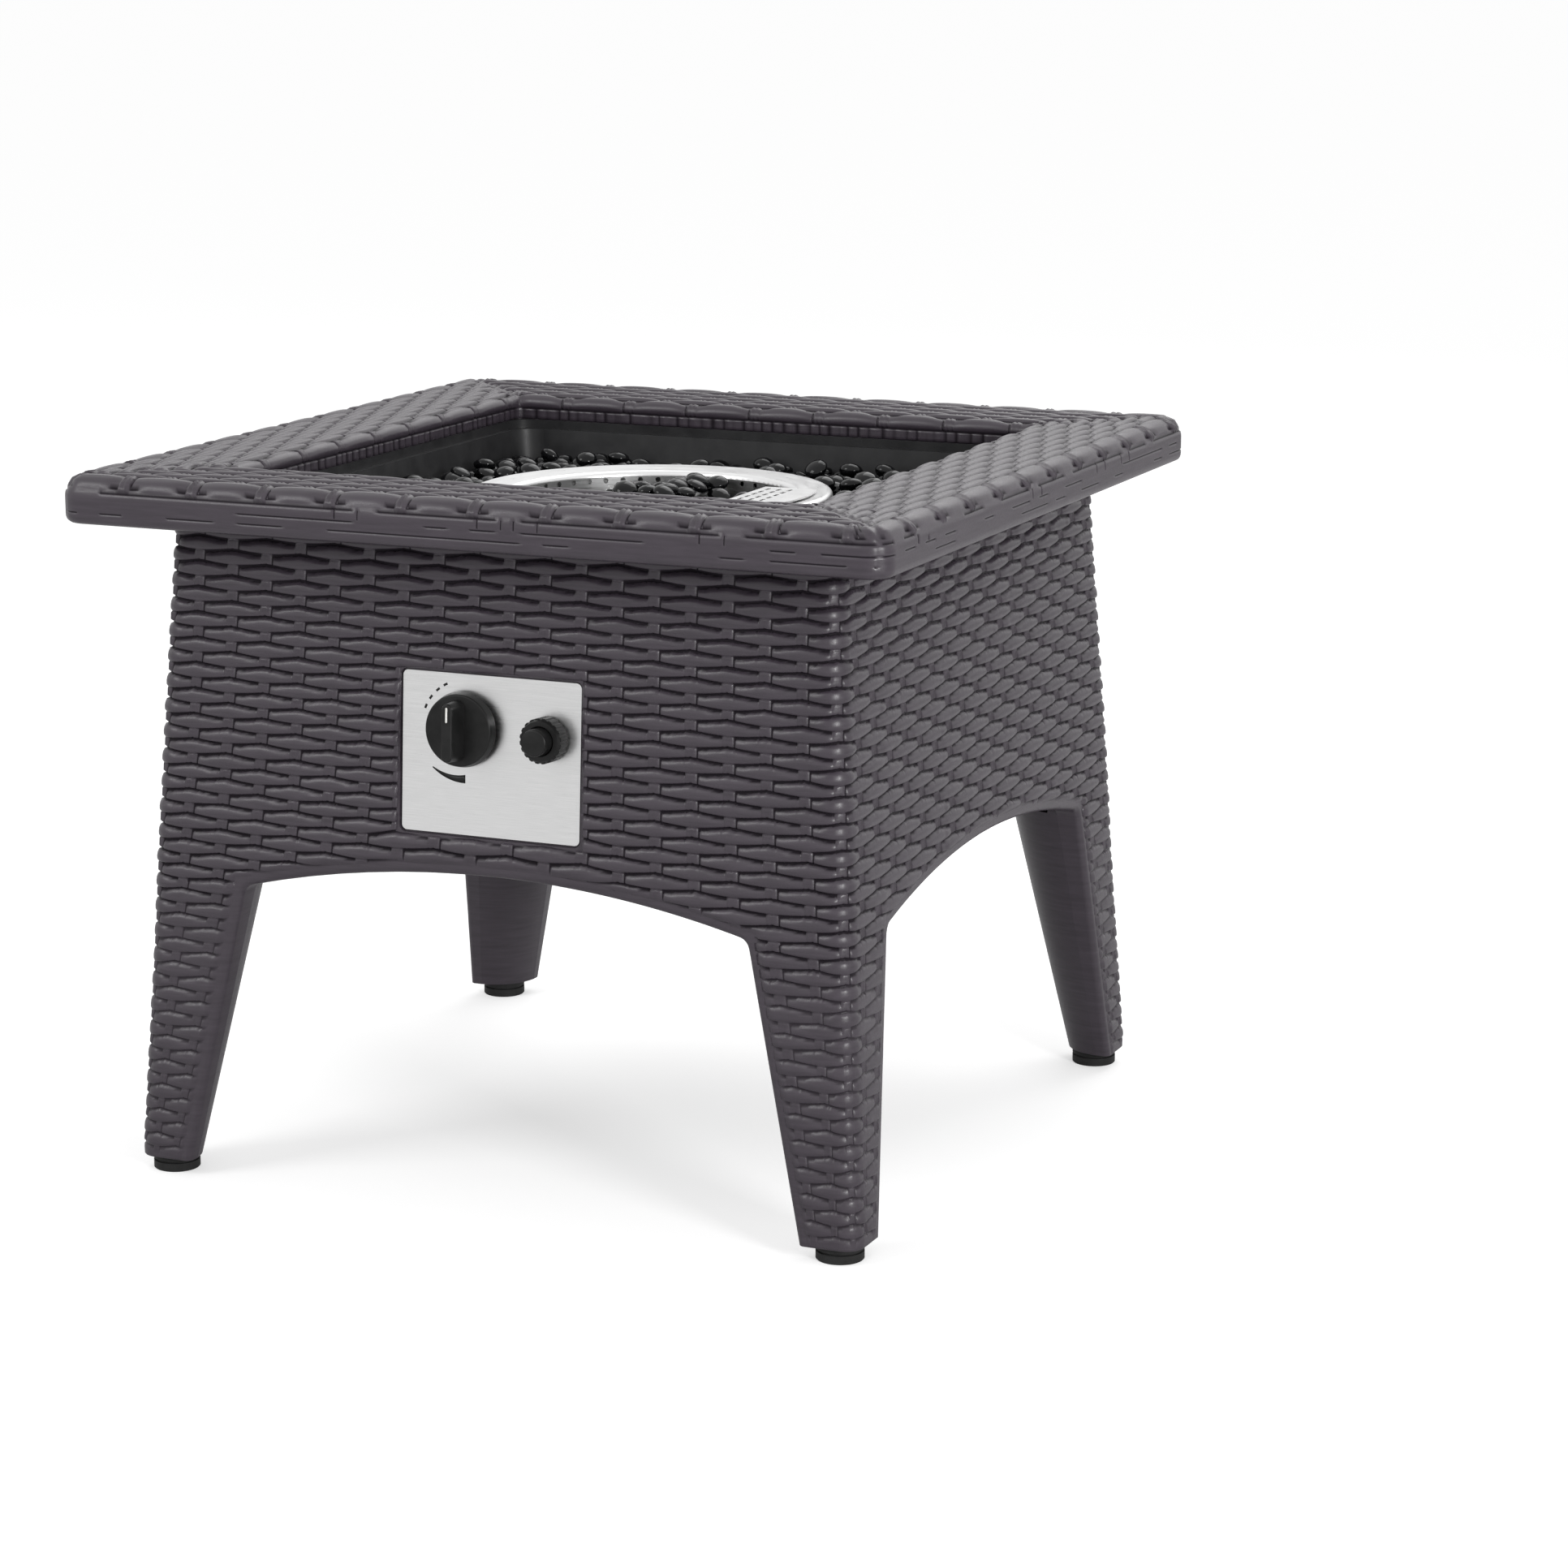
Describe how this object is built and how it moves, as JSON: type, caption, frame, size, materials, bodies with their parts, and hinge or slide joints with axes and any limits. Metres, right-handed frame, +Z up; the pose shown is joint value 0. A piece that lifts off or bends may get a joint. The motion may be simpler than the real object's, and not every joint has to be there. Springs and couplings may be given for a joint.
{
  "type": "gas fire table",
  "caption": "Square gas fire table: moulded woven-look base on splayed legs, framed top, sunken fire pan with ring burner in glass beads, and a front panel with gas knob and push igniter.",
  "frame": {"origin": "on the floor under the middle of the table", "axes": "+Z up, control panel on the -Y face, knob to the -X side of the igniter"},
  "size_m": [0.648, 0.648, 0.53],
  "materials": {
    "moulding": "semi-matt moulded composite with a woven relief",
    "black_enamel": "satin black heat-resistant enamel",
    "stainless": "brushed",
    "zinc_steel": "zinc plated",
    "die_cast": "as cast",
    "brass": "turned",
    "black_plastic": "moulded satin",
    "black_foot": "moulded matt",
    "black_glass": "glossy opaque",
    "ceramic": "glazed ceramic",
    "cell_wrap": "plain wrap"
  },
  "bodies": {
    "table": {"table_top": "moulding", "base": "moulding", "leg_bushes": "brass", "burner_pan": "black_enamel", "burner_ring_upper": "stainless", "burner_ring_lower": "stainless", "burner_manifold": "stainless", "hub_nut": "zinc_steel", "mixing_tube": "zinc_steel", "jet_elbow": "brass", "gas_jet": "brass", "burner_legs": "stainless", "burner_screws": "zinc_steel", "burner_nuts": "zinc_steel", "pilot_bracket": "zinc_steel", "electrode": "ceramic", "flame_sensor": "zinc_steel", "igniter_shield": "stainless", "bead_bed": "black_glass", "mounting_clips": "zinc_steel", "top_screws": "zinc_steel", "base_screws": "zinc_steel", "control_panel": "stainless", "panel_backplate": "zinc_steel", "panel_nuts": "zinc_steel", "gas_valve": "die_cast", "valve_screws": "zinc_steel", "gas_inlet": "brass", "stem_spring": "zinc_steel", "gas_tube": "die_cast", "igniter_body": "black_plastic", "igniter_nut": "black_plastic", "igniter_cap": "black_plastic", "igniter_cell": "cell_wrap", "button_spring": "zinc_steel"},
    "valve_plug": {"valve_plug": "brass"},
    "knob": {"knob": "black_plastic", "valve_stem": "zinc_steel"},
    "igniter_button": {"igniter_button": "black_plastic"},
    "foot_front_left": {"foot_front_left": "black_foot"},
    "foot_front_right": {"foot_front_right": "black_foot"},
    "foot_back_left": {"foot_back_left": "black_foot"},
    "foot_back_right": {"foot_back_right": "black_foot"}
  },
  "joints": [
    {"name": "knob_turn", "type": "hinge", "parent": "table", "child": "valve_plug", "pos_m": [-0.021, -0.27238, 0.35896], "axis": [0, -0.9982, 0.0606], "range_deg": [0, 180]},
    {"name": "knob_push", "type": "slide", "parent": "valve_plug", "child": "knob", "axis": [0, 0.9982, -0.0606], "range_m": [0, 0.004], "stiffness_N_per_m": 1500, "springref_m": -0.002, "deforming": ["stem_spring"]},
    {"name": "igniter_push", "type": "slide", "parent": "table", "child": "igniter_button", "axis": [0, 0.9982, -0.0606], "range_m": [0, 0.004], "stiffness_N_per_m": 1200, "springref_m": -0.002, "deforming": ["button_spring"]},
    {"name": "foot_front_left_level", "type": "slide", "parent": "table", "child": "foot_front_left", "axis": [0, 0, -1], "range_m": [0, 0.01]},
    {"name": "foot_front_right_level", "type": "slide", "parent": "table", "child": "foot_front_right", "axis": [0, 0, -1], "range_m": [0, 0.01]},
    {"name": "foot_back_left_level", "type": "slide", "parent": "table", "child": "foot_back_left", "axis": [0, 0, -1], "range_m": [0, 0.01]},
    {"name": "foot_back_right_level", "type": "slide", "parent": "table", "child": "foot_back_right", "axis": [0, 0, -1], "range_m": [0, 0.01]}
  ]
}
